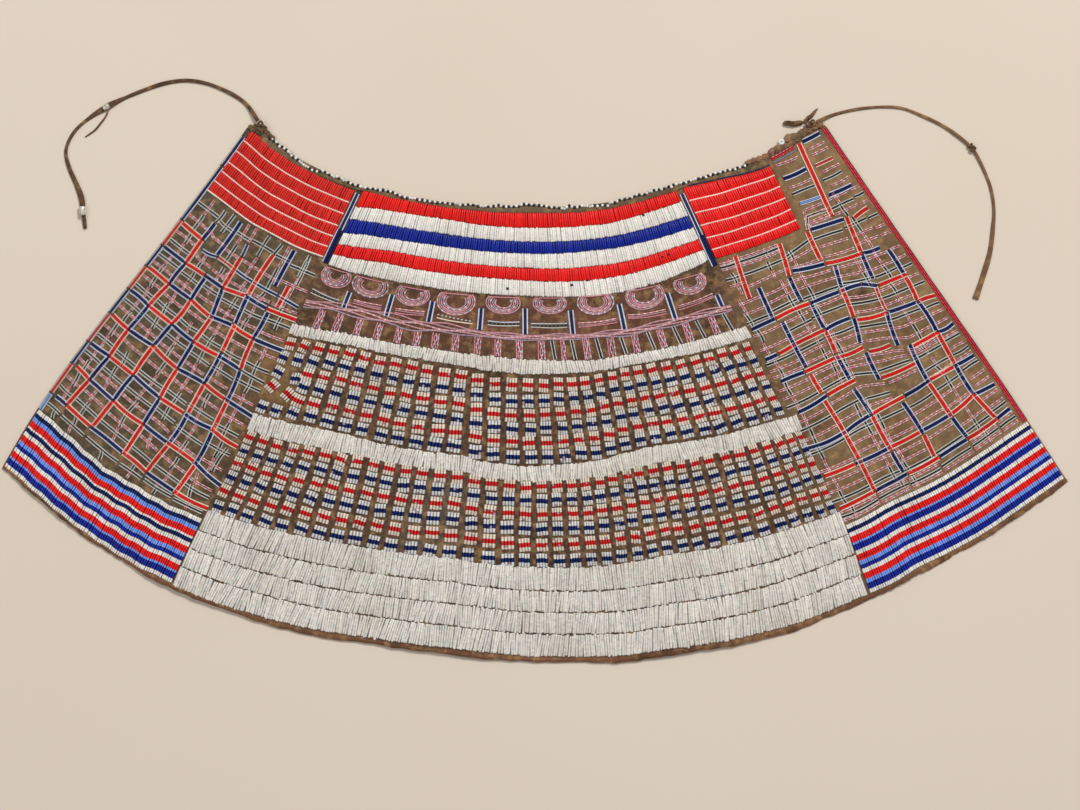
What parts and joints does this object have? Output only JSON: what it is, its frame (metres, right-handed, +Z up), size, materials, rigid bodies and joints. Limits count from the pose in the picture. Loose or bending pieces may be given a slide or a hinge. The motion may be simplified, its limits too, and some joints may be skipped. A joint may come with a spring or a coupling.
{
  "type": "beaded skirt",
  "caption": "Fan-shaped hide wrap skirt laid flat, covered with lanes, blocks, stripes and plaids of glass beads, with a leather tie at each waist corner.",
  "frame": {"origin": "on the underside, in the middle of the hide's length and width", "axes": "+X towards the right end of the hem seen from the beaded side, +Y from hem to waist, +Z up out of the beaded side"},
  "size_m": [1.148, 0.6295, 0.0086],
  "materials": {
    "hide": "tanned hide, matt, grained",
    "thong": "dark twisted leather, worn",
    "white_beads": "opaque white glass seed beads, satin",
    "red_beads": "opaque red glass seed beads, satin",
    "mixed_beads": "opaque glass seed beads in red, white, navy, light blue and pink, satin",
    "navy_beads": "opaque navy glass seed beads, satin",
    "pink_beads": "opaque dusty pink glass seed beads, satin",
    "metal_bead": "worn silvery metal"
  },
  "bodies": {
    "root": {"arcade_arches": "pink_beads", "arcade_lattice": "pink_beads", "centre_stripe_panel": "red_beads", "hem_white_lane_1": "white_beads", "hem_white_lane_2": "white_beads", "hem_white_lane_3": "white_beads", "hem_white_lane_4": "white_beads", "hide": "hide", "left_corner_knot": "thong", "left_divider": "navy_beads", "left_edge_line": "navy_beads", "left_hem_band": "mixed_beads", "left_plaid": "mixed_beads", "left_red_panel": "red_beads", "left_waist_tab": "hide", "lower_block_panel": "mixed_beads", "middle_white_lane": "white_beads", "right_corner_knot": "thong", "right_corner_strand": "thong", "right_corner_toggle": "thong", "right_divider": "navy_beads", "right_edge_line": "pink_beads", "right_hem_band": "mixed_beads", "right_plaid": "mixed_beads", "right_red_panel": "red_beads", "right_waist_tab": "hide", "tie_left": "thong", "tie_left_bead": "metal_bead", "tie_left_join": "metal_bead", "tie_left_tail": "thong", "tie_right": "thong", "tie_right_knot": "thong", "upper_block_panel": "mixed_beads", "upper_white_lane": "white_beads", "waist_edging": "hide"}
  },
  "joints": []
}
